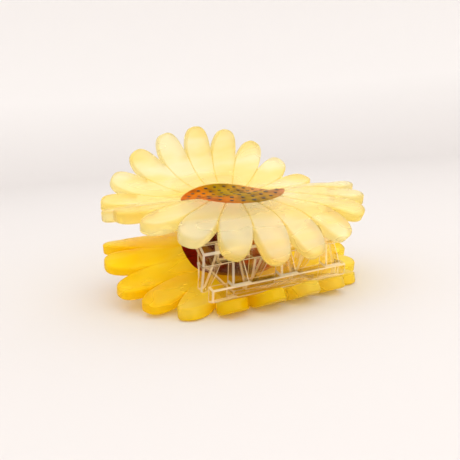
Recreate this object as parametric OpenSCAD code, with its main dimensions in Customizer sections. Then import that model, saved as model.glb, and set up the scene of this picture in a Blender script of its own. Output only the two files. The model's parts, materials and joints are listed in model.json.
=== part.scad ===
// Flower-shaped hair claw clip: two bent daisy plates with inlaid centres,
// two clear toothed jaws bonded inside them, a hinge pin and a torsion spring.
// The clip lies on its lower flower, teeth towards -Y, hinge axis along X.

/* [Flowers] */
// Radius of each flower over its petal tips, measured along the bent sheet
flower_radius = 32.5; // [30:0.5:35]
// Number of petals on each flower
petal_count = 21; // [17:2:25]
// Radius at which the notches between the petals start
notch_radius = 24; // [22:0.5:27]
// Thickness of the flower sheet
sheet_thickness = 2.8; // [2.2:0.1:3]
// Radius of the inlaid centre
centre_radius = 13; // [10:0.5:15]

/* [Bend of the sheet] */
// Distance from the closing plane to the middle of the sheet at the centre
centre_height = 6.8; // [6.7:0.1:8]
// Slope of the sheet at the flower's centre
centre_slope = 19; // [16:1:20]
// Radius of the waist over the hinge
waist_radius = 23; // [21:1:26]
// Radius of the handle behind the hinge
handle_radius = 16; // [14:1:18]
// Slope of the handle petals at their tips
handle_slope = 72; // [60:1:76]
// Steepest slope between waist and shoulder
shoulder_slope = 27; // [22:1:30]
// Radius of the shoulder in front of the hinge
shoulder_radius = 10; // [8:0.5:12]
// Length of the level roof over the hair space
roof_length = 10; // [8:0.5:11]
// Radius of the curl that brings the front petals down
curl_radius = 16; // [12:1:18]
// Slope of the front petals at their tips
tip_slope = 42; // [30:1:45]

/* [Jaws] */
// Thickness of the clear backing plate
backing_thickness = 1; // [0.8:0.1:1.1]
// Width of the backing strip between the bar and the handle's end
backing_width = 20; // [20:0.5:26]
// How far the backing reaches behind the flower's centre, seen in plan
handle_reach = 19; // [17:0.5:20]
// Length of the toothed bar
bar_length = 34.4; // [33:0.2:38]
// Depth of the toothed bar, front to back
bar_depth = 2.4; // [2:0.1:2.4]
// Distance from the flower's centre to the bar's front face, seen in plan
bar_front = 24.7; // [24.5:0.1:25]
// Height of the bar's free edge above the closing plane
bar_edge = 2.8; // [2.8:0.1:3.4]
// Number of teeth on each jaw
tooth_count = 3; // [2:1:3]
// Distance between the teeth of one jaw
tooth_pitch = 12; // [11.6:0.2:12]
// Width of a tooth at its root
tooth_root_width = 4.4; // [3.6:0.1:4.8]
// Width of a tooth at its round tip
tooth_tip_width = 2; // [1.6:0.1:2.4]
// Depth of a tooth at its root, front to back
tooth_root_depth = 3.1; // [2.6:0.1:3.2]
// Depth of a tooth at its tip
tooth_tip_depth = 2.1; // [1.6:0.1:2.2]
// How far a tooth leans back towards the hinge
tooth_lean = 3.3; // [3:0.1:4]
// How far a tooth reaches past the closing plane
tooth_reach = 5.2; // [4:0.1:5.2]

/* [Hinge] */
// Distance of the hinge pin behind the flower's centre
hinge_offset = 6; // [5:0.5:7]
// Radius of the steel pin
pin_radius = 1; // [0.8:0.05:1.1]
// Running clearance around the pin in the upper jaw's knuckles
pin_clearance = 0.05; // [0.03:0.01:0.08]
// Outer radius of a hinge knuckle
knuckle_radius = 2.5; // [2.3:0.1:2.6]
// Width of one knuckle
knuckle_width = 2.5; // [2:0.1:2.7]
// Wire thickness of the torsion spring
wire_diameter = 0.9; // [0.6:0.05:0.9]
// Full turns of the spring, besides the half turn between its legs
spring_turns = 5; // [3:1:6]

/* [Hidden] */
$fn = 64;

// Middle of each jaw's bar and place of its first tooth along the hinge axis
lower_bar_middle = 0.3;
upper_bar_middle = -2;
lower_first_tooth = -10;
upper_first_tooth = -17;

// Play between parts that pass each other along the hinge
side_play = 0.3;
half_sheet = sheet_thickness / 2;
// Thickness of the glue line between sheet and backing
glue = 0.1;

// The sheet's middle line in side view is made of tangent pieces. A point of it
// is [distance in front of the flower's centre, height over the closing plane, slope].
// Arc that turns from the point p by the angle turn with radius r
function arc_from(p, r, turn) =
    let (side = sign(turn), a = p[2] + turn)
    [p[0] + side * r * (sin(a) - sin(p[2])), p[1] + side * r * (cos(p[2]) - cos(a)), a];
function straight(p, length) = [
    p[0] + length * cos(p[2]),
    p[1] + length * sin(p[2]),
    p[2]
];
// Angle that a length of arc turns through
function turned(length, r) = length / r * 180 / PI;
// Length of an arc of radius r between two slopes
function arc_length(r, a, b) = abs(b - a) * PI / 180 * r;

// The pieces behind the centre run backwards, from the centre to the handle
waist_end_slope = -3;
centre_point = [0, centre_height, centre_slope];
function back_arc(p, r, turn) =
    let (a = p[2] - turn)
    [p[0] - r * (sin(p[2]) - sin(a)), p[1] + r * (cos(p[2]) - cos(a)), a];
waist_back_length = arc_length(waist_radius, centre_slope, waist_end_slope);
waist_back = back_arc(centre_point, waist_radius, centre_slope - waist_end_slope);
handle_length = arc_length(handle_radius, waist_end_slope, -handle_slope);
handle_end = back_arc(waist_back, handle_radius, waist_end_slope + handle_slope);

// The pieces in front of the centre
waist_front_length = arc_length(waist_radius, centre_slope, shoulder_slope);
shoulder_start = arc_from(centre_point, waist_radius, shoulder_slope - centre_slope);
shoulder_length = arc_length(shoulder_radius, shoulder_slope, 0);
roof_start = arc_from(shoulder_start, shoulder_radius, -shoulder_slope);
curl_start = straight(roof_start, roof_length);
curl_length = arc_length(curl_radius, 0, tip_slope);
curl_end = arc_from(curl_start, curl_radius, -tip_slope);

// Point of the middle line at a length u along the sheet in front of the centre
function in_front(u) =
    u < waist_front_length ? arc_from(centre_point, waist_radius, turned(u, waist_radius)) :
    let (v = u - waist_front_length)
    v < shoulder_length ? arc_from(shoulder_start, shoulder_radius, -turned(v, shoulder_radius)) :
    let (w = v - shoulder_length)
    w < roof_length ? straight(roof_start, w) :
    let (x = w - roof_length)
    x < curl_length ? arc_from(curl_start, curl_radius, -turned(x, curl_radius)) :
    straight(curl_end, x - curl_length);
// The same at a length u behind the centre
function behind(u) =
    u < waist_back_length ? back_arc(centre_point, waist_radius, turned(u, waist_radius)) :
    let (v = u - waist_back_length)
    v < handle_length ? back_arc(waist_back, handle_radius, turned(v, handle_radius)) :
    straight(handle_end, handle_length - v);
function sheet_point(u) = u < 0 ? behind(-u) : in_front(u);

// The middle line as points close enough for smooth curves, past both ends of the flower
line_step = 0.75;
line_end = ceil(flower_radius / line_step) + 3;
sheet_line = [for (i = [-line_end:line_end]) sheet_point(i * line_step)];
// The line at a distance d outside the middle line
function offset_point(p, d) = [p[0] - d * sin(p[2]), p[1] + d * cos(p[2])];
function beside(d) = [for (p = sheet_line) offset_point(p, d)];
function reversed(list) = [for (i = [len(list) - 1:-1:0]) list[i]];
// Place on the bent sheet of a point of the flat flower, at a distance d outside its middle
function bent(x, y, d) =
    let (p = offset_point(sheet_point(-y), d))
    [x, -p[0], p[1]];

// A flat flower is a mesh of petal sectors. Round rings run from the centre's
// edge to the notches, and each petal ends in half an ellipse with filled-out
// shoulders.
columns = 4;
half_sector = 180 / petal_count;
ring_count = 9;
tip_angles = [8, 20, 38, 56, 72, 83];
// Power of the sine and cosine in the petals' ends: 1 gives half an ellipse, less fills it out
tip_power = 0.75;
tip_rows = len(tip_angles);
ring_size = petal_count * columns;
first_tip_point = ring_count * ring_size;
side_size = first_tip_point + petal_count * tip_rows * (columns + 1);
petal_half_width = notch_radius * tan(half_sector);
petal_end = notch_radius + (flower_radius - notch_radius) * pow(sin(tip_angles[tip_rows - 1]), tip_power);

// Point of the flat flower from a petal's own axes: along it and across it
function on_petal(petal, along, across) =
    let (a = 90 + petal * 2 * half_sector)
    [along * cos(a) - across * sin(a), along * sin(a) + across * cos(a)];
function across_part(column) = 2 * column / columns - 1;
function ring_point(ring, k, inner) =
    let (
        petal = floor(k / columns),
        part = across_part(k % columns),
        r = inner + (notch_radius - inner) * ring / (ring_count - 1)
    )
    ring == 0
        ? on_petal(petal, inner * cos(part * half_sector), inner * sin(part * half_sector))
        : on_petal(petal, r, part * r * tan(half_sector));
function tip_point(petal, row, column) =
    let (t = tip_angles[row])
    on_petal(
        petal,
        notch_radius + (flower_radius - notch_radius) * pow(sin(t), tip_power),
        across_part(column) * petal_half_width * pow(cos(t), tip_power)
    );
flat_flower = concat(
    [for (ring = [0:ring_count - 1]) for (k = [0:ring_size - 1]) ring_point(ring, k, centre_radius)],
    [
        for (petal = [0:petal_count - 1])
            for (row = [0:tip_rows - 1])
                for (column = [0:columns])
                    tip_point(petal, row, column)
    ]
);
// Index of a mesh point by petal, row and column; rows past the rings are tip rows
function at(petal, row, column) =
    row < ring_count
        ? row * ring_size + (petal * columns + column) % ring_size
        : first_tip_point + ((petal * tip_rows) + row - ring_count) * (columns + 1) + column;
function two_triangles(a, b, c, d) = [[a, b, c], [a, c, d]];

// Resting position: the handle tip and the curl of the lower flower touch the table
handle_tip = offset_point(sheet_point(-petal_end), half_sheet);
rest_tilt = min([
    for (p = beside(half_sheet))
        if (p[0] > 0)
            atan((handle_tip[1] - p[1]) / (p[0] - handle_tip[0]))
]);
// Corner points of the outline in side view, lower and upper flower
side_corners = [
    for (u = [-petal_end, petal_end * cos(half_sector)])
        for (d = [-half_sheet, half_sheet])
            for (side = [-1, 1])
                let (p = offset_point(sheet_point(u), d))
                [p[0], side * p[1]]
];
rest_y = [for (p = side_corners) -p[0] * cos(rest_tilt) - p[1] * sin(rest_tilt)];
rest_shift = -(min(rest_y) + max(rest_y)) / 2;
rest_lift = handle_tip[1] * cos(rest_tilt) + handle_tip[0] * sin(rest_tilt);

// Hinge layout along X
spring_space = 4.2;
inner_knuckle_start = spring_space;
outer_knuckle_start = inner_knuckle_start + knuckle_width + side_play;
pin_half_length = outer_knuckle_start + knuckle_width;
coil_radius = knuckle_radius - 0.2 - wire_diameter / 2;
coil_pitch = wire_diameter * 1.12;
leg_length = 9;
leg_slope = 9;
coil_turning = (spring_turns + 0.5) * 360 - 2 * leg_slope;
coil_length = coil_pitch * coil_turning / 360;
coil_steps = ceil(coil_turning / 15);
wire_sides = 10;

// Stands the closed clip on the table; children are drawn about the closing plane
module resting() {
    translate([0, rest_shift, rest_lift])
        rotate([rest_tilt, 0, 0])
            children();
}

// Extrudes a side-view shape [distance in front, height] along the hinge axis
module side_view(width) {
    rotate([90, 0, -90])
        linear_extrude(height = width, center = true)
            children();
}

module sheet_band(inside, outside, width) {
    side_view(width)
        polygon(concat(beside(outside), reversed(beside(inside))));
}

// The flower above the closing plane, with the hole for its centre
module flower_half() {
    last = ring_count + tip_rows - 1;
    polyhedron(
        points = [
            for (d = [half_sheet, -half_sheet])
                for (p = flat_flower)
                    bent(p[0], p[1], d)
        ],
        faces = concat(
            // Outside and inside
            [
                for (petal = [0:petal_count - 1])
                    for (row = [0:last - 1])
                        for (column = [0:columns - 1])
                            let (
                                a = at(petal, row, column),
                                b = at(petal, row + 1, column),
                                c = at(petal, row + 1, column + 1),
                                d = at(petal, row, column + 1),
                                s = side_size
                            )
                            for (face = concat(two_triangles(a, d, c, b), two_triangles(a + s, b + s, c + s, d + s)))
                                face
            ],
            // Both edges of each petal
            [
                for (petal = [0:petal_count - 1])
                    for (row = [ring_count - 1:last - 1])
                        for (edge = [0, columns])
                            let (
                                a = at(petal, row, edge),
                                b = at(petal, row + 1, edge),
                                s = side_size
                            )
                            for (face = edge == 0 ? two_triangles(a, b, b + s, a + s) : two_triangles(a, a + s, b + s, b))
                                face
            ],
            // Ends of the petals and edge of the hole
            [
                for (petal = [0:petal_count - 1])
                    for (column = [0:columns - 1])
                        let (
                            a = at(petal, last, column),
                            b = at(petal, last, column + 1),
                            c = at(petal, 0, column),
                            d = at(petal, 0, column + 1),
                            s = side_size
                        )
                        for (face = concat(two_triangles(a, b, b + s, a + s), two_triangles(c, c + s, d + s, d)))
                            face
            ]
        ),
        convexity = 6
    );
}

// The inlaid centre, on the same bend, as rings around a middle point
centre_rings = 6;
module centre_half() {
    middle = centre_rings * ring_size;
    side = middle + 1;
    flat_centre = concat(
        [
            for (ring = [0:centre_rings - 1])
                for (k = [0:ring_size - 1])
                    let (p = ring_point(0, k, centre_radius))
                    p * (1 - ring / centre_rings)
        ],
        [[0, 0]]
    );
    polyhedron(
        points = [
            for (d = [half_sheet, -half_sheet])
                for (p = flat_centre)
                    bent(p[0], p[1], d)
        ],
        faces = [
            for (k = [0:ring_size - 1])
                let (
                    n = (k + 1) % ring_size,
                    inner = (centre_rings - 1) * ring_size
                )
                for (face = concat(
                    [
                        for (ring = [0:centre_rings - 2])
                            let (a = ring * ring_size, b = a + ring_size)
                            for (f = concat(
                                two_triangles(a + k, b + k, b + n, a + n),
                                two_triangles(side + a + k, side + a + n, side + b + n, side + b + k)
                            ))
                                f
                    ],
                    [
                        [inner + k, middle, inner + n],
                        [side + inner + k, side + inner + n, side + middle]
                    ],
                    two_triangles(k, n, side + n, side + k)
                ))
                    face
        ],
        convexity = 4
    );
}

// Plan of the backing: a narrow strip from the bar to the handle, where it
// ends in round corners
module backing_plan() {
    corner = 3;
    front = bar_front - bar_depth / 2;
    union() {
        translate([-backing_width / 2, -front])
            square([backing_width, front + handle_reach - corner]);
        translate([-backing_width / 2 + corner, handle_reach - 2 * corner])
            square([backing_width - 2 * corner, 2 * corner]);
        for (side = [-1, 1])
            translate([side * (backing_width / 2 - corner), handle_reach - corner])
                circle(r = corner);
    }
}

module backing() {
    intersection() {
        linear_extrude(height = 2 * flower_radius)
            backing_plan();
        sheet_band(-half_sheet - glue - backing_thickness, -half_sheet - glue, 2 * bar_length);
    }
}

// Side view of a tooth; f runs from 0 at the bar to 1 at the tip
tooth_steps = 8;
tooth_root = bar_edge + 1;
tooth_middle = bar_front - tooth_root_depth / 2;
function tooth_side(f, side) =
    let (
        depth = tooth_root_depth + (tooth_tip_depth - tooth_root_depth) * f,
        back = tooth_lean * (0.7 * f + 0.3 * f * f)
    )
    [tooth_middle - back + side * depth / 2, tooth_root - (tooth_root + tooth_reach) * f];

module tooth() {
    tip_r = tooth_tip_width / 2;
    intersection() {
        side_view(2 * tooth_root_width)
            polygon(concat(
                [[tooth_middle + tooth_root_depth / 2, centre_height]],
                [for (i = [0:tooth_steps]) tooth_side(i / tooth_steps, 1)],
                [for (i = [tooth_steps:-1:0]) tooth_side(i / tooth_steps, -1)],
                [[tooth_middle - tooth_root_depth / 2, centre_height]]
            ));
        translate([0, -bar_front + 10, 0])
            rotate([90, 0, 0])
                linear_extrude(height = 20)
                    union() {
                        translate([0, -tooth_reach + tip_r])
                            circle(r = tip_r);
                        polygon([
                            [-tooth_root_width / 2, centre_height],
                            [-tooth_root_width / 2, tooth_root],
                            [-tip_r, -tooth_reach + tip_r],
                            [tip_r, -tooth_reach + tip_r],
                            [tooth_root_width / 2, tooth_root],
                            [tooth_root_width / 2, centre_height]
                        ]);
                    }
    }
}

// The bar with its teeth fills the corner up to the inside of the sheet
module comb(bar_middle, first_tooth) {
    difference() {
        union() {
            translate([bar_middle - bar_length / 2, -bar_front, bar_edge])
                cube([bar_length, bar_depth, centre_height]);
            for (i = [0:tooth_count - 1])
                translate([first_tooth + i * tooth_pitch, 0, 0])
                    tooth();
        }
        sheet_band(-half_sheet - glue, centre_height, 2 * bar_length);
    }
}

// One ear with its knuckle, from x to x + knuckle_width on the right side; it
// ends inside the backing under the lowest point of the waist
waist_bottom = centre_height + waist_radius * (cos(centre_slope) - 1);
ear_top = waist_bottom - half_sheet - glue - backing_thickness / 2;
module ear(x, bore_radius) {
    translate([x, hinge_offset, 0])
        difference() {
            union() {
                rotate([0, 90, 0])
                    cylinder(r = knuckle_radius, h = knuckle_width);
                translate([0, -knuckle_radius, 0])
                    cube([knuckle_width, 2 * knuckle_radius, ear_top]);
            }
            translate([-1, 0, 0])
                rotate([0, 90, 0])
                    cylinder(r = bore_radius, h = knuckle_width + 2);
        }
}

module ears(x, bore_radius) {
    ear(x, bore_radius);
    mirror([1, 0, 0])
        ear(x, bore_radius);
}

// A jaw above the closing plane
module jaw_half(bar_middle, first_tooth, knuckle_start, bore_radius) {
    union() {
        backing();
        comb(bar_middle, first_tooth);
        ears(knuckle_start, bore_radius);
    }
}

// A round wire along a path of [point, direction across, direction outwards]
module wire(path) {
    ring = [for (i = [0:wire_sides - 1]) wire_diameter / 2 * [cos(i * 360 / wire_sides), sin(i * 360 / wire_sides)]];
    points = [for (p = path) for (c = ring) p[0] + c[0] * p[1] + c[1] * p[2]];
    last = (len(path) - 1) * wire_sides;
    polyhedron(
        points = points,
        faces = concat(
            [[for (i = [0:wire_sides - 1]) i]],
            [
                for (k = [0:len(path) - 2])
                    for (i = [0:wire_sides - 1])
                        let (j = (i + 1) % wire_sides, a = k * wire_sides, b = a + wire_sides)
                        for (face = [[a + i, b + i, b + j], [a + i, b + j, a + j]])
                            face
            ],
            [[for (i = [wire_sides - 1:-1:0]) last + i]]
        ),
        convexity = 6
    );
}

// Point of a leg that leaves the coil towards the handle; side is 1 above the
// closing plane and -1 below it, d the distance along the leg
function leg_frame(side, x, d) = [
    [
        x,
        d * cos(leg_slope) - coil_radius * sin(leg_slope),
        side * (coil_radius * cos(leg_slope) + d * sin(leg_slope))
    ],
    [1, 0, 0],
    [0, -sin(leg_slope), side * cos(leg_slope)]
];
// Point of the coil at a part f of its way from the lower to the upper leg
function coil_frame(f) =
    let (a = -90 - leg_slope - coil_turning * f)
    [
        [coil_length * (f - 0.5), coil_radius * cos(a), coil_radius * sin(a)],
        [1, 0, 0],
        [0, cos(a), sin(a)]
    ];

module lower_flower() {
    color("gold")
        resting()
            mirror([0, 0, 1])
                flower_half();
}

module lower_centre() {
    color("saddlebrown")
        resting()
            mirror([0, 0, 1])
                centre_half();
}

module lower_jaw() {
    color("seashell", 0.5)
        resting()
            mirror([0, 0, 1])
                jaw_half(lower_bar_middle, lower_first_tooth, outer_knuckle_start, pin_radius);
}

module hinge_pin() {
    color("silver")
        resting()
            translate([-pin_half_length, hinge_offset, 0])
                rotate([0, 90, 0])
                    cylinder(r = pin_radius, h = 2 * pin_half_length);
}

module spring_coil() {
    color("darkgray")
        resting()
            translate([0, hinge_offset, 0])
                wire(concat(
                    [leg_frame(-1, -coil_length / 2, leg_length)],
                    [for (i = [0:coil_steps]) coil_frame(i / coil_steps)]
                ));
}

module upper_flower() {
    color("lemonchiffon")
        resting()
            flower_half();
}

module upper_centre() {
    color("chocolate")
        resting()
            centre_half();
}

module upper_jaw() {
    color("seashell", 0.5)
        resting()
            jaw_half(upper_bar_middle, upper_first_tooth, inner_knuckle_start, pin_radius + pin_clearance);
}

module spring_upper_leg() {
    color("darkgray")
        resting()
            translate([0, hinge_offset, 0])
                wire([for (d = [0, leg_length]) leg_frame(1, coil_length / 2, d)]);
}

lower_flower();
lower_centre();
lower_jaw();
hinge_pin();
spring_coil();
upper_flower();
upper_centre();
upper_jaw();
spring_upper_leg();
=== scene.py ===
"""Flower hair claw clip: two bent acetate daisies, clear toothed jaws, pin and spring."""
import json
import math

import bmesh
import bpy
from mathutils import Matrix, Vector


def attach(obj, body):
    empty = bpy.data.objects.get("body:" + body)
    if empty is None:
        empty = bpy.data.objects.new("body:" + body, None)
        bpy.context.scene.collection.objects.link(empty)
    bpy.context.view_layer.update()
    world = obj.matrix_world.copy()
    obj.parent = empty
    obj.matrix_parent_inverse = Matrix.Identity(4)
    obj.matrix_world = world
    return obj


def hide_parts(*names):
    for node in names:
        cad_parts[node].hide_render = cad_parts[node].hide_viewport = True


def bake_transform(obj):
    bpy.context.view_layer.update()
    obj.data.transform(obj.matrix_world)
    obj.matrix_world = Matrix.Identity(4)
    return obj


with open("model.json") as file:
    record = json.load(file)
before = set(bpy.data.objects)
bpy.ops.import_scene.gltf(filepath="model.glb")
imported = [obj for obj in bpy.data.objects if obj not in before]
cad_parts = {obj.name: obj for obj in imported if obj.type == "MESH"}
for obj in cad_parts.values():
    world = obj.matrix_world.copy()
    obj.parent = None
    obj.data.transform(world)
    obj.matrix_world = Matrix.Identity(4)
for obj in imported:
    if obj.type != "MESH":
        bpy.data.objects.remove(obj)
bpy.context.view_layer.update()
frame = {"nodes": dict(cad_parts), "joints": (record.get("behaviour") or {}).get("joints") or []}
MM = 0.001

# ------------------------ sizes, in mm, the same as in the part's own source
FLOWER_RADIUS = 32.5
PETALS = 21
NOTCH_RADIUS = 24.0
HALF_SHEET = 1.4
CENTRE_RADIUS = 13.0
HALF_SECTOR = math.pi / PETALS
PETAL_HALF_WIDTH = NOTCH_RADIUS * math.tan(HALF_SECTOR)
# Power of the sine and cosine in the petals' ends: 1 gives half an ellipse, less fills it out
TIP_POWER = 0.75
# Rounding of the petals' edges; the lines between the petals are cut with the same curve
EDGE_ROUND = 0.5
# Gap between the inlaid centre and its hole
INLAY_GAP = 0.03

# Side view of the sheet as tangent arcs from the flower's centre:
# (length, change of slope per mm), in front of the centre and behind it
CENTRE_HEIGHT = 6.8
CENTRE_SLOPE = math.radians(19)
WAIST_RADIUS = 23.0
HANDLE_RADIUS = 16.0
SHOULDER_RADIUS = 10.0
CURL_RADIUS = 16.0
ENDLESS = 1000.0
FRONT_ARCS = [
    (math.radians(27 - 19) * WAIST_RADIUS, 1 / WAIST_RADIUS),
    (math.radians(27) * SHOULDER_RADIUS, -1 / SHOULDER_RADIUS),
    (10.0, 0.0),
    (math.radians(42) * CURL_RADIUS, -1 / CURL_RADIUS),
    (ENDLESS, 0.0),
]
BACK_ARCS = [
    (math.radians(19 + 3) * WAIST_RADIUS, 1 / WAIST_RADIUS),
    (math.radians(72 - 3) * HANDLE_RADIUS, 1 / HANDLE_RADIUS),
    (ENDLESS, 0.0),
]

# Hinge, pin and spring
HINGE_OFFSET = 6.0
PIN_RADIUS = 1.0
PIN_HALF_LENGTH = 9.5
WIRE_RADIUS = 0.45
COIL_RADIUS = 1.85
SPRING_TURNS = 5
COIL_PITCH = 1.008
LEG_LENGTH = 9.0
LEG_SLOPE = math.radians(9)

# ------------------------------------------- place of the closing plane's frame
# In it, x runs along the hinge, s forwards to the teeth and w up from the plane
hinge = Vector(frame["joints"][0]["pos_m"]) / MM
REST_TILT = math.radians(13.9891)
TILT_COS = math.cos(REST_TILT)
TILT_SIN = math.sin(REST_TILT)
SHIFT_Y = hinge.y - HINGE_OFFSET * TILT_COS
LIFT_Z = hinge.z - HINGE_OFFSET * TILT_SIN
HALVES = {"upper": 1, "lower": -1}


def placed(x, s, w):
    """A point of the closing plane's frame in the row frame, in metres."""
    y = -s * TILT_COS - w * TILT_SIN + SHIFT_Y
    z = -s * TILT_SIN + w * TILT_COS + LIFT_Z
    return Vector((x, y, z)) * MM


def sheet_point(u):
    """Distance in front, height and slope of the sheet's middle, a length u in front."""
    s, w, a = 0.0, CENTRE_HEIGHT, CENTRE_SLOPE
    arcs = FRONT_ARCS if u >= 0 else BACK_ARCS
    way = 1 if u >= 0 else -1
    left = abs(u)
    for length, bend in arcs:
        step = way * min(left, length)
        if bend == 0:
            s += step * math.cos(a)
            w += step * math.sin(a)
        else:
            b = a + bend * step
            s += (math.sin(b) - math.sin(a)) / bend
            w += (math.cos(a) - math.cos(b)) / bend
            a = b
        left -= abs(step)
        if left <= 0:
            break
    return s, w, a


def bent(half, x, y, d):
    """Where a point of the flat flower lies on the bent one, d outside its middle."""
    s, w, a = sheet_point(-y)
    return placed(x, s - d * math.sin(a), HALVES[half] * (w + d * math.cos(a)))


# ------------------------------------------------------------------ mesh tools
WELD = 0.002 * MM


def finish_mesh(name, bm, body, material, node=None, sharp=40):
    """Makes a piece of a mesh: welded, normals outwards, smooth up to the angle sharp."""
    bmesh.ops.remove_doubles(bm, verts=bm.verts, dist=WELD)
    bmesh.ops.recalc_face_normals(bm, faces=bm.faces)
    mesh = bpy.data.meshes.new(name)
    bm.to_mesh(mesh)
    bm.free()
    mesh.polygons.foreach_set("use_smooth", [True] * len(mesh.polygons))
    mesh.set_sharp_from_angle(angle=math.radians(sharp))
    mesh.materials.append(material)
    piece = bpy.data.objects.new(name, mesh)
    bpy.context.scene.collection.objects.link(piece)
    if node:
        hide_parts(node)
    if body:
        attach(piece, body)
    return piece


def rounding(e, radius):
    """How far a rounded edge lies below the face, a distance e in from the edge."""
    if e >= radius:
        return 0.0
    return radius - math.sqrt(max(radius * radius - (radius - e) ** 2, 0.0))


def eased(f):
    """A share from 0 to 1 that starts and stops gently."""
    f = min(max(f, 0.0), 1.0)
    return f * f * (3 - 2 * f)


def add_faces(bm, rows, close=False, flip=False):
    """Quads between neighbouring rows of vertices."""
    for a, b in zip(rows, rows[1:]):
        count = len(a) if close else len(a) - 1
        for i in range(count):
            j = (i + 1) % len(a)
            corners = [a[i], b[i], b[j], a[j]]
            if flip:
                corners.reverse()
            if len(set(corners)) == 4:
                bm.faces.new(corners)


# --------------------------------------------------------------------- flowers
# Places across a petal, from 0 in its middle to 1 at its edge
EDGE_STEPS = [1 - e / PETAL_HALF_WIDTH for e in (EDGE_ROUND, 0.34, 0.2, 0.1, 0.03, 0.0)]
ACROSS = [0.28, 0.56] + EDGE_STEPS
SECTOR_ROWS = 16
# How strongly the engraved lines and the petals' edges take their darker colour
LINE_TINT = 0.85
EDGE_TINT = 0.4
# Drop below the face at which that colour is full
TINT_DROP = EDGE_ROUND / 3
TIP_STEPS = 32
# Depth of the lines between the petals, as a share of EDGE_ROUND, on the two faces,
# and the part of the way from the centre to the notch where they start to deepen
LINE_DEPTH = {1: 0.45, -1: 0.15}
LINE_DEEPENS = 0.84
PETAL_CREASE = 48


def petal_point(petal, along, across):
    """Point of the flat flower, from a petal's own axes."""
    a = math.pi / 2 + petal * 2 * HALF_SECTOR
    return (
        along * math.cos(a) - across * math.sin(a),
        along * math.sin(a) + across * math.cos(a),
    )


def engraving(f, face):
    """Depth of the line between two petals, a share f of the way out to the notch."""
    shallow = LINE_DEPTH[face]
    return shallow + (1 - shallow) * eased((f - LINE_DEEPENS) / (1 - LINE_DEEPENS))


def flower(half, material):
    """A bent daisy, petal by petal, with engraved lines and rounded edges."""
    bm = bmesh.new()
    edge_layer = bm.verts.layers.float.new("edge")
    inner = CENTRE_RADIUS + INLAY_GAP
    parts = [-p for p in reversed(ACROSS)] + [0.0] + ACROSS

    def vertex(petal, along, across, face, drop, tint):
        x, y = petal_point(petal, along, across)
        made = bm.verts.new(bent(half, x, y, face * (HALF_SHEET - drop)))
        made[edge_layer] = min(drop / TINT_DROP, 1.0) * tint
        return made

    for petal in range(PETALS):
        edges = {}
        for face in (1, -1):
            # The part between the centre and the notches
            rows = []
            for k in range(SECTOR_ROWS + 1):
                f = k / SECTOR_ROWS
                r = inner + (NOTCH_RADIUS - inner) * f
                row = []
                for part in parts:
                    edge = (1 - abs(part)) * r * math.tan(HALF_SECTOR)
                    drop = rounding(edge, EDGE_ROUND) * engraving(f, face)
                    round_in = r * (1 - math.cos(part * HALF_SECTOR)) * (1 - f)
                    across = part * (r - round_in) * math.tan(HALF_SECTOR)
                    row.append(vertex(petal, r - round_in, across, face, drop, LINE_TINT))
                rows.append(row)
            add_faces(bm, rows, flip=face < 0)
            # The free end, as rings of filled-out half ellipses around the notch line's middle
            rings = []
            for part in ACROSS:
                drop = rounding((1 - part) * PETAL_HALF_WIDTH, EDGE_ROUND)
                ring = []
                for k in range(TIP_STEPS + 1):
                    t = -math.pi / 2 + math.pi * k / TIP_STEPS
                    reach = max(math.cos(t), 0.0) ** TIP_POWER
                    swing = math.copysign(abs(math.sin(t)) ** TIP_POWER, t)
                    along = NOTCH_RADIUS + (FLOWER_RADIUS - NOTCH_RADIUS) * part * reach
                    across = PETAL_HALF_WIDTH * part * swing
                    ring.append(vertex(petal, along, across, face, drop, EDGE_TINT))
                rings.append(ring)
            add_faces(bm, rings, flip=face < 0)
            middle = rows[-1][len(ACROSS)]
            for a, b in zip(rings[0], rings[0][1:]):
                bm.faces.new([middle, b, a] if face < 0 else [middle, a, b])
            edges[face] = (rows[0], rings[-1])
        add_faces(bm, [edges[1][0], edges[-1][0]])
        add_faces(bm, [edges[1][1], edges[-1][1]])
    return finish_mesh(
        f"{half}_petals",
        bm,
        f"{half}_half",
        material,
        f"{half}_flower",
        PETAL_CREASE,
    )


# --------------------------------------------------------------------- centres
CENTRE_SEGMENTS = 96
CENTRE_RINGS = 14
CENTRE_ROUND = 0.2


def centre(half, material):
    """The bent disc let into the flower, its edges slightly rounded."""
    bm = bmesh.new()
    outer = CENTRE_RADIUS - INLAY_GAP / 2
    radii = [outer * k / CENTRE_RINGS for k in range(1, CENTRE_RINGS)]
    radii += [outer - e for e in (CENTRE_ROUND, 0.1, 0.04, 0.0)]
    rims = []
    for face in (1, -1):
        middle = bm.verts.new(bent(half, 0, 0, face * HALF_SHEET))
        rings = []
        for r in radii:
            drop = rounding(outer - r, CENTRE_ROUND)
            ring = []
            for k in range(CENTRE_SEGMENTS):
                a = 2 * math.pi * k / CENTRE_SEGMENTS
                ring.append(
                    bm.verts.new(
                        bent(half, r * math.cos(a), r * math.sin(a), face * (HALF_SHEET - drop))
                    )
                )
            rings.append(ring)
        add_faces(bm, rings, close=True, flip=face < 0)
        for k in range(CENTRE_SEGMENTS):
            a, b = rings[0][k], rings[0][(k + 1) % CENTRE_SEGMENTS]
            bm.faces.new([middle, b, a] if face < 0 else [middle, a, b])
        rims.append(rings[-1])
    add_faces(bm, rims, close=True)
    return finish_mesh(
        f"{half}_inlay", bm, f"{half}_half", material, f"{half}_centre"
    )


# Rings of printed seed dots: (radius, how many)
DOT_RINGS = [(1.6, 4), (4.0, 9), (6.4, 15), (8.8, 21), (11.2, 26)]
DOT_RADIUS = 0.52
DOT_HEIGHT = 0.09
DOT_SIDES = 12
# Turn of each ring of dots against the one before it, in dots, and how far sizes differ
DOT_TWIST = 0.37
DOT_SPREAD = 0.12
DOT_CREASE = 60


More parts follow.
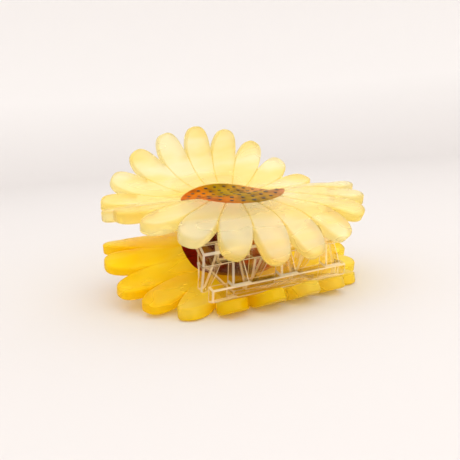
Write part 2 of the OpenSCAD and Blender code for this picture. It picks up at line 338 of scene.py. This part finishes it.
def seed_dots(half, material):
    """Small raised dots of dark lacquer on the outside of the centre."""
    bm = bmesh.new()
    # Share of the dot's radius, and height over the face; the foot is sunk into it
    profile = [(1.0, -0.03), (0.94, 0.35 * DOT_HEIGHT), (0.7, 0.8 * DOT_HEIGHT)]
    for order, (ring_radius, count) in enumerate(DOT_RINGS):
        for k in range(count):
            a = 2 * math.pi * (k + DOT_TWIST * order) / count
            size = DOT_RADIUS * (1 + DOT_SPREAD * math.sin(5.1 * k + order))
            x0 = ring_radius * math.cos(a)
            y0 = ring_radius * math.sin(a)
            rings = []
            for part, height in profile:
                ring = []
                for i in range(DOT_SIDES):
                    b = 2 * math.pi * i / DOT_SIDES
                    x = x0 + size * part * math.cos(b)
                    y = y0 + size * part * math.sin(b)
                    ring.append(bm.verts.new(bent(half, x, y, HALF_SHEET + height)))
                rings.append(ring)
            add_faces(bm, rings, close=True)
            top = bm.verts.new(bent(half, x0, y0, HALF_SHEET + DOT_HEIGHT))
            for i in range(DOT_SIDES):
                bm.faces.new([top, rings[-1][i], rings[-1][(i + 1) % DOT_SIDES]])
            bm.faces.new(rings[0])
    return finish_mesh(
        f"{half}_seed_dots", bm, f"{half}_half", material, sharp=DOT_CREASE
    )


# ------------------------------------------------------------------- clear jaws
JAW_ROUND = 0.36
# Corners sharper than this angle are rounded
JAW_CREASE = 28
# Facets that differ by less than this angle are joined
JAW_FLAT = 0.6


def jaw(half, material, edge_highlight_material):
    """The moulded jaw of the frame with rounded, polished edges, which carry a painted
    highlight.
    """
    node = frame["nodes"][f"{half}_jaw"]
    bm = bmesh.new()
    bm.from_mesh(node.data)
    bmesh.ops.remove_doubles(bm, verts=bm.verts, dist=WELD)
    bmesh.ops.dissolve_limit(
        bm, angle_limit=math.radians(JAW_FLAT), verts=bm.verts, edges=bm.edges
    )
    piece = finish_mesh(
        f"{half}_clear_jaw",
        bm,
        f"{half}_half",
        material,
        f"{half}_jaw",
        JAW_CREASE,
    )
    piece.data.materials.append(edge_highlight_material)
    bevel = piece.modifiers.new("polished edges", "BEVEL")
    # The rounded edges take the second material, a painted highlight: paler, warmer and less
    # clear than the body
    bevel.material = 1
    bevel.width = JAW_ROUND * MM
    bevel.segments = 3
    bevel.limit_method = "ANGLE"
    bevel.angle_limit = math.radians(JAW_CREASE)
    bevel.harden_normals = False
    bevel.use_clamp_overlap = False
    return piece


# -------------------------------------------------------------- pin and spring
def pin(material):
    """The steel hinge pin with rounded ends."""
    bm = bmesh.new()
    sides = 40
    end = 0.3
    end_steps = 6
    profile = [(-PIN_HALF_LENGTH, 0.0)]
    for k in range(end_steps + 1):
        a = math.pi / 2 * k / end_steps
        profile.append(
            (-PIN_HALF_LENGTH + end * (1 - math.cos(a)), PIN_RADIUS - end + end * math.sin(a))
        )
    profile += [(-x, r) for x, r in reversed(profile)]
    rings = []
    for x, r in profile:
        ring = []
        for i in range(sides):
            a = 2 * math.pi * i / sides
            ring.append(
                bm.verts.new(placed(x, -HINGE_OFFSET + r * math.cos(a), r * math.sin(a)))
            )
        rings.append(ring)
    add_faces(bm, rings, close=True)
    return finish_mesh("steel_pin", bm, "lower_half", material, "hinge_pin")


WIRE_SIDES = 16
WIRE_CREASE = 60
# Rounding of a wire's ends: way from the end and radius, as shares of the wire's radius
WIRE_END = [(0.0, 0.0), (0.15, 0.62), (0.5, 0.92)]
COIL_STEP = math.radians(9)
LEG_STEPS = 8


def wire(name, points, body, material, node):
    """A round wire with rounded ends through points (x, back, w) about the hinge."""
    path = [Vector(p) for p in points]
    bm = bmesh.new()
    rows = []
    stations = []
    first_way = (path[1] - path[0]).normalized()
    last_way = (path[-1] - path[-2]).normalized()
    for step, width in WIRE_END:
        stations.append((path[0] + first_way * step * WIRE_RADIUS, first_way, width))
    for i, p in enumerate(path[1:-1], 1):
        stations.append((p, (path[i + 1] - path[i - 1]).normalized(), 1.0))
    for step, width in reversed(WIRE_END):
        stations.append((path[-1] - last_way * step * WIRE_RADIUS, last_way, width))
    for p, way, width in stations:
        across = way.cross(Vector((1, 0, 0)))
        if across.length < 0.2:
            across = way.cross(Vector((0, 1, 0)))
        across.normalize()
        up = across.cross(way).normalized()
        row = []
        for k in range(WIRE_SIDES):
            a = 2 * math.pi * k / WIRE_SIDES
            q = p + WIRE_RADIUS * width * (math.cos(a) * across + math.sin(a) * up)
            row.append(bm.verts.new(placed(q.x, -HINGE_OFFSET - q.y, q.z)))
        rows.append(row)
    add_faces(bm, rows, close=True)
    return finish_mesh(name, bm, body, material, node, WIRE_CREASE)


def coil_points():
    """Points of the wound spring and its leg along the lower handle, and the coil's length."""
    turning = (SPRING_TURNS + 0.5) * 2 * math.pi - 2 * LEG_SLOPE
    length = COIL_PITCH * turning / (2 * math.pi)
    points = []
    start = leg_point(-1, -length / 2, 0)
    for k in range(LEG_STEPS):
        points.append(leg_point(-1, -length / 2, LEG_LENGTH * (1 - k / LEG_STEPS)))
    begin = math.atan2(start[2], start[1])
    steps = int(turning / COIL_STEP)
    for k in range(steps + 1):
        f = k / steps
        a = begin - turning * f
        x = -length / 2 + length * f
        points.append((x, COIL_RADIUS * math.cos(a), COIL_RADIUS * math.sin(a)))
    return points, length


def leg_point(side, x, d):
    """A point of a leg, a distance d from the coil; side is 1 above the plane."""
    back = d * math.cos(LEG_SLOPE) - COIL_RADIUS * math.sin(LEG_SLOPE)
    height = COIL_RADIUS * math.cos(LEG_SLOPE) + d * math.sin(LEG_SLOPE)
    return (x, back, side * height)


# ------------------------------------------------------------------- materials
class Nodes:
    """Short way to write a material's node tree."""

    def __init__(self, name):
        self.material = bpy.data.materials.new(name)
        self.material.use_nodes = True
        self.tree = self.material.node_tree
        self.shader = self.tree.nodes["Principled BSDF"]
        self.place = self.add("ShaderNodeTexCoord").outputs["Object"]

    def add(self, kind, **settings):
        node = self.tree.nodes.new(kind)
        for key, value in settings.items():
            setattr(node, key, value)
        return node

    def link(self, source, target):
        self.tree.links.new(source, target)

    def noise(self, scale, detail=3.0, roughness=0.55, stretch=(1, 1, 1), distortion=0.0):
        """Cloudy noise in metres; a larger stretch makes it finer along that axis."""
        mapping = self.add("ShaderNodeMapping")
        mapping.inputs["Scale"].default_value = stretch
        self.link(self.place, mapping.inputs["Vector"])
        node = self.add("ShaderNodeTexNoise")
        node.inputs["Scale"].default_value = scale
        node.inputs["Detail"].default_value = detail
        node.inputs["Roughness"].default_value = roughness
        node.inputs["Distortion"].default_value = distortion
        self.link(mapping.outputs["Vector"], node.inputs["Vector"])
        return node.outputs["Fac"]

    def ramp(self, value, *stops):
        """A colour by value, through stops of (position, colour)."""
        node = self.add("ShaderNodeValToRGB")
        elements = node.color_ramp.elements
        while len(elements) < len(stops):
            elements.new(0.5)
        for element, (position, colour) in zip(elements, stops):
            element.position = position
            element.color = (*colour, 1)
        self.link(value, node.inputs["Fac"])
        return node.outputs["Color"]

    def span(self, value, low, high, to_low, to_high):
        """Maps low to high onto to_low to to_high."""
        node = self.add("ShaderNodeMapRange")
        node.inputs["From Min"].default_value = low
        node.inputs["From Max"].default_value = high
        node.inputs["To Min"].default_value = to_low
        node.inputs["To Max"].default_value = to_high
        self.link(value, node.inputs["Value"])
        return node.outputs["Result"]

    def mix(self, factor, a, b):
        """Colour a turning into colour b as the factor goes from 0 to 1."""
        node = self.add("ShaderNodeMix", data_type="RGBA")
        colour_a, colour_b = [s for s in node.inputs if s.type == "RGBA"]
        self.connect(node.inputs["Factor"], factor)
        self.connect(colour_a, a)
        self.connect(colour_b, b)
        return next(s for s in node.outputs if s.type == "RGBA")

    def sum_of(self, value, factor, added):
        """value times factor, plus added."""
        node = self.add("ShaderNodeMath", operation="MULTIPLY_ADD")
        for socket, number in zip(node.inputs, (value, factor, added)):
            if isinstance(number, bpy.types.NodeSocket):
                self.link(number, socket)
            else:
                socket.default_value = number
        return node.outputs["Value"]

    def connect(self, socket, value):
        if isinstance(value, bpy.types.NodeSocket):
            self.link(value, socket)
        elif isinstance(value, tuple):
            socket.default_value = (*value, 1)
        else:
            socket.default_value = value

    def bump(self, height, strength, distance):
        node = self.add("ShaderNodeBump")
        node.inputs["Strength"].default_value = strength
        node.inputs["Distance"].default_value = distance
        self.link(height, node.inputs["Height"])
        self.link(node.outputs["Normal"], self.shader.inputs["Normal"])

    def attribute(self, name):
        return self.add("ShaderNodeAttribute", attribute_name=name).outputs["Fac"]

    def lets_light_through(self, colour, share, unbent=0.0):
        """Lets a share of the lamps' light through, tinted, and a share of the view unbent."""
        output = self.tree.nodes["Material Output"]
        clear = self.add("ShaderNodeBsdfTransparent")
        clear.inputs["Color"].default_value = (*colour, 1)
        path = self.add("ShaderNodeLightPath")
        mix = self.add("ShaderNodeMixShader")
        part = self.sum_of(path.outputs["Is Shadow Ray"], share - unbent, unbent)
        self.link(part, mix.inputs["Fac"])
        self.link(self.shader.outputs["BSDF"], mix.inputs[1])
        self.link(clear.outputs["BSDF"], mix.inputs[2])
        self.link(mix.outputs["Shader"], output.inputs["Surface"])

    def set(self, **values):
        for key, value in values.items():
            self.connect(self.shader.inputs[key.replace("_", " ")], value)


def acetate(name, deep, pale, bright, line, tint, clear, unbent, coat):
    """Hazy cellulose acetate with soft cloudy bands of colour."""
    n = Nodes(name)
    clouds = n.noise(48, 3, 0.5, (0.6, 1.0, 2.2), 0.5)
    veins = n.noise(110, 2, 0.5, (0.6, 1.0, 1.8), 0.3)
    base = n.ramp(clouds, (0.36, deep), (0.5, pale), (0.62, bright))
    cloudy = n.mix(n.span(veins, 0.45, 0.7, 0.0, 0.35), base, bright)
    colour = n.mix(n.attribute("edge"), cloudy, line)
    n.set(
        Base_Color=colour,
        Roughness=n.span(veins, 0.3, 0.7, 0.2, 0.3),
        IOR=1.22,
        Specular_IOR_Level=0.3,
        Transmission_Weight=clear,
        Coat_Weight=coat,
        Coat_Roughness=0.08,
    )
    n.lets_light_through(tint, 0.8, unbent)
    return n.material


def inlay_material(name, stops, spread, clear):
    """Marbled acetate of the centre; its colour drifts along the hinge, by up to spread."""
    n = Nodes(name)
    split = n.add("ShaderNodeSeparateXYZ")
    n.link(n.place, split.inputs["Vector"])
    radius = CENTRE_RADIUS * MM
    along = n.span(split.outputs["X"], -radius, radius, -spread / 2, 1 - spread / 2)
    clouds = n.noise(95, 4, 0.6, (1, 0.7, 1), 0.8)
    base = n.ramp(n.sum_of(clouds, spread, along), *stops)
    fine = n.noise(300, 3, 0.5)
    colour = n.mix(n.span(fine, 0.45, 0.68, 0.0, 0.5), base, (0.05, 0.012, 0.004))
    n.set(
        Base_Color=colour,
        Roughness=n.span(fine, 0.3, 0.7, 0.16, 0.26),
        IOR=1.12,
        Specular_IOR_Level=0.0,
        Transmission_Weight=clear,
    )
    tint = stops[1][1]
    n.lets_light_through(tint, 0.6)
    return n.material


def lacquer_material():
    """Almost black lacquer of the printed dots."""
    n = Nodes("seed lacquer")
    fine = n.noise(900, 2)
    n.set(
        Base_Color=n.ramp(fine, (0.3, (0.012, 0.004, 0.001)), (0.7, (0.03, 0.01, 0.004))),
        Roughness=n.span(fine, 0.3, 0.7, 0.3, 0.4),
        Specular_IOR_Level=0.2,
    )
    return n.material


def clear_material(name, low, high, transmission, unbent):
    """Clear injection-moulded plastic, slightly warm, with faint flow marks."""
    n = Nodes(name)
    flow = n.noise(140, 3, 0.5, (0.35, 1, 1), 0.5)
    n.set(
        Base_Color=n.ramp(flow, (0.35, low), (0.65, high)),
        Roughness=n.span(flow, 0.3, 0.7, 0.015, 0.06),
        IOR=1.42,
        Transmission_Weight=transmission,
    )
    n.bump(n.noise(160, 2, 0.5, (0.4, 1, 1)), 0.05, 0.0002)
    n.lets_light_through((1.0, 0.95, 0.86), 1.0, unbent)
    return n.material


def steel_material(name, colour, dark, scale):
    """Steel with fine scratches along the hinge's axis."""
    n = Nodes(name)
    scratches = n.noise(scale, 4, 0.6, (1, 8, 8))
    n.set(
        Base_Color=n.ramp(scratches, (0.3, dark), (0.7, colour)),
        Metallic=1.0,
        Roughness=n.span(scratches, 0.3, 0.7, 0.2, 0.38),
    )
    n.bump(scratches, 0.1, 0.00005)
    return n.material


def paper_material(name, floor, wall):
    """Studio paper, a little lighter where it curves up, so that it looks even."""
    n = Nodes(name)
    split = n.add("ShaderNodeSeparateXYZ")
    n.link(n.place, split.inputs["Vector"])
    height = n.span(split.outputs["Z"], 0.0, 0.12, 0.0, 1.0)
    n.set(
        Base_Color=n.ramp(height, (0.0, floor), (1.0, wall)),
        Roughness=0.9,
        Specular_IOR_Level=0.1,
    )
    return n.material


# ------------------------------------------------------------------ the pieces
petals_upper = acetate(
    "pale yellow acetate",
    deep=(1.0, 0.78, 0.2),
    pale=(1.0, 0.87, 0.4),
    bright=(1.0, 0.96, 0.7),
    line=(0.8, 0.62, 0.06),
    tint=(1.0, 0.9, 0.5),
    clear=0.6,
    unbent=0.25,
    coat=0.05,
)
# The lower flower is the same pale acetate as the upper one: its deeper golden colours are
# painted shade and painted glow of light that has passed through the sheets.
petals_lower = acetate(
    "yellow acetate with painted golden shade",
    deep=(1.0, 0.7, 0.0),
    pale=(1.0, 0.79, 0.01),
    bright=(1.0, 0.92, 0.16),
    line=(1.0, 0.68, 0.0),
    tint=(1.0, 0.78, 0.12),
    clear=0.5,
    unbent=0.2,
    coat=0.0,
)
inlay_upper = inlay_material(
    "amber inlay",
    [
        (0.05, (0.85, 0.16, 0.0)),
        (0.3, (0.82, 0.24, 0.0)),
        (0.48, (0.48, 0.3, 0.0)),
        (0.7, (0.6, 0.34, 0.03)),
        (0.92, (0.85, 0.38, 0.16)),
    ],
    spread=0.5,
    clear=0.5,
)
# The same inlay as the upper centre, seen from inside the clip: its dark maroon colours are
# painted shade.
inlay_lower = inlay_material(
    "centre inlay painted maroon for shade",
    [
        (0.1, (0.24, 0.008, 0.001)),
        (0.35, (0.14, 0.004, 0.001)),
        (0.6, (0.5, 0.05, 0.002)),
        (0.9, (0.85, 0.26, 0.01)),
    ],
    spread=0.5,
    clear=0.5,
)
lacquer = lacquer_material()
clear = clear_material(
    "clear plastic", low=(1.0, 0.95, 0.84), high=(1.0, 0.98, 0.92), transmission=1.0, unbent=0.85
)
# Painted highlight: the jaws' bevelled edges take a paler, warmer, less clear colour that stands
# in for the light their clear edges refract
painted_edge_highlight = clear_material(
    "clear plastic edges with painted highlight",
    low=(1.0, 0.9, 0.66),
    high=(1.0, 0.96, 0.82),
    transmission=0.35,
    unbent=0.35,
)
steel = steel_material(
    "polished steel pin", colour=(0.78, 0.78, 0.77), dark=(0.6, 0.6, 0.6), scale=400
)
spring_steel = steel_material(
    "spring wire", colour=(0.7, 0.7, 0.7), dark=(0.48, 0.48, 0.49), scale=700
)

flower("upper", petals_upper)
flower("lower", petals_lower)
centre("upper", inlay_upper)
centre("lower", inlay_lower)
seed_dots("upper", lacquer)
seed_dots("lower", lacquer)
jaw("upper", clear, painted_edge_highlight)
jaw("lower", clear, painted_edge_highlight)
pin(steel)
coil, coil_length = coil_points()
wound = wire("wound_spring", coil, None, spring_steel, "spring_coil")
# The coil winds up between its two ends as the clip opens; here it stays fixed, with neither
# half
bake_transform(wound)
leg = [leg_point(1, coil_length / 2, LEG_LENGTH * k / LEG_STEPS) for k in range(LEG_STEPS + 1)]
wire("upper_spring_leg", leg, "upper_half", spring_steel, "spring_upper_leg")


# ------------------------------------------- floor, lights, camera, in metres
CLIP_MIDDLE = Vector((0, 0, 0.02))


def backdrop(material):
    """A round studio sweep: flat floor that curves up into a low wall, in metres."""
    flat = 0.55
    curve = 0.3
    curve_steps = 12
    wall = 0.08
    sides = 96
    profile = [(0.1, 0.0), (0.3, 0.0), (flat, 0.0)]
    for k in range(1, curve_steps + 1):
        a = math.pi / 2 * k / curve_steps
        profile.append((flat + curve * math.sin(a), curve * (1 - math.cos(a))))
    profile.append((flat + curve, curve + wall))
    bm = bmesh.new()
    rings = []
    for r, z in profile:
        ring = []
        for k in range(sides):
            a = 2 * math.pi * k / sides
            ring.append(bm.verts.new((r * math.cos(a), r * math.sin(a), z)))
        rings.append(ring)
    add_faces(bm, rings, close=True)
    bm.faces.new(rings[0])
    mesh = bpy.data.meshes.new("backdrop")
    bmesh.ops.recalc_face_normals(bm, faces=bm.faces)
    bm.to_mesh(mesh)
    bm.free()
    mesh.polygons.foreach_set("use_smooth", [True] * len(mesh.polygons))
    mesh.materials.append(material)
    sweep = bpy.data.objects.new("backdrop", mesh)
    bpy.context.scene.collection.objects.link(sweep)


def area_light(name, place, size, power, colour):
    """A round lamp aimed at the clip, not seen itself."""
    lamp = bpy.data.lights.new(name, "AREA")
    lamp.shape = "DISK"
    lamp.size = size
    lamp.energy = power
    lamp.color = colour
    lamp_object = bpy.data.objects.new(name, lamp)
    lamp_object.location = place
    lamp_object.visible_camera = False
    way = CLIP_MIDDLE - Vector(place)
    lamp_object.rotation_euler = way.to_track_quat("-Z", "Y").to_euler()
    bpy.context.scene.collection.objects.link(lamp_object)


backdrop(
    paper_material("warm white paper", floor=(0.735, 0.7, 0.685), wall=(0.87, 0.845, 0.832))
)
area_light(
    "overhead softbox", place=(-0.1, 0.12, 0.6), size=0.5, power=0.6, colour=(1, 0.985, 0.965)
)
area_light(
    "front fill", place=(0.15, -0.5, 0.22), size=0.6, power=1.4, colour=(1, 0.98, 0.96)
)
world = bpy.data.worlds.new("studio")
world.use_nodes = True
sky = world.node_tree.nodes["Background"]
sky.inputs["Color"].default_value = (1.0, 0.985, 0.97, 1)
sky.inputs["Strength"].default_value = 1.1
bpy.context.scene.world = world
bpy.context.scene.view_settings.view_transform = "Standard"

# The camera looks at the clip's closing plane from the front, a little from the left
CAMERA_AZIMUTH = math.radians(28.008)
CAMERA_ELEVATION = math.radians(21.53)
CAMERA_ROLL = math.radians(2.351)
# From the clip's middle, in mm
CAMERA_DISTANCE = 134.6


def turned(x, front, up):
    """A direction of the closing plane's frame in the row frame."""
    return Vector((x, -front * TILT_COS - up * TILT_SIN, -front * TILT_SIN + up * TILT_COS))


ca, sa = math.cos(CAMERA_AZIMUTH), math.sin(CAMERA_AZIMUTH)
ce, se = math.cos(CAMERA_ELEVATION), math.sin(CAMERA_ELEVATION)
level_right = turned(ca, sa, 0)
level_up = turned(se * sa, -se * ca, ce)
back = turned(-ce * sa, ce * ca, se)
cr, sr = math.cos(CAMERA_ROLL), math.sin(CAMERA_ROLL)
right = cr * level_right + sr * level_up
up = -sr * level_right + cr * level_up
camera = bpy.data.cameras.new("camera")
camera.lens = 41.2
camera.sensor_width = 36
camera.shift_x = -0.0036
camera.shift_y = -0.0088
camera.clip_start = 0.01
camera.clip_end = 10
camera_object = bpy.data.objects.new("camera", camera)
axes = Matrix((right, up, back)).transposed().to_4x4()
stand = placed(0, 0, 0) + back * CAMERA_DISTANCE * MM
camera_object.matrix_world = Matrix.Translation(stand) @ axes
bpy.context.scene.collection.objects.link(camera_object)
bpy.context.scene.camera = camera_object

bpy.context.view_layer.update()
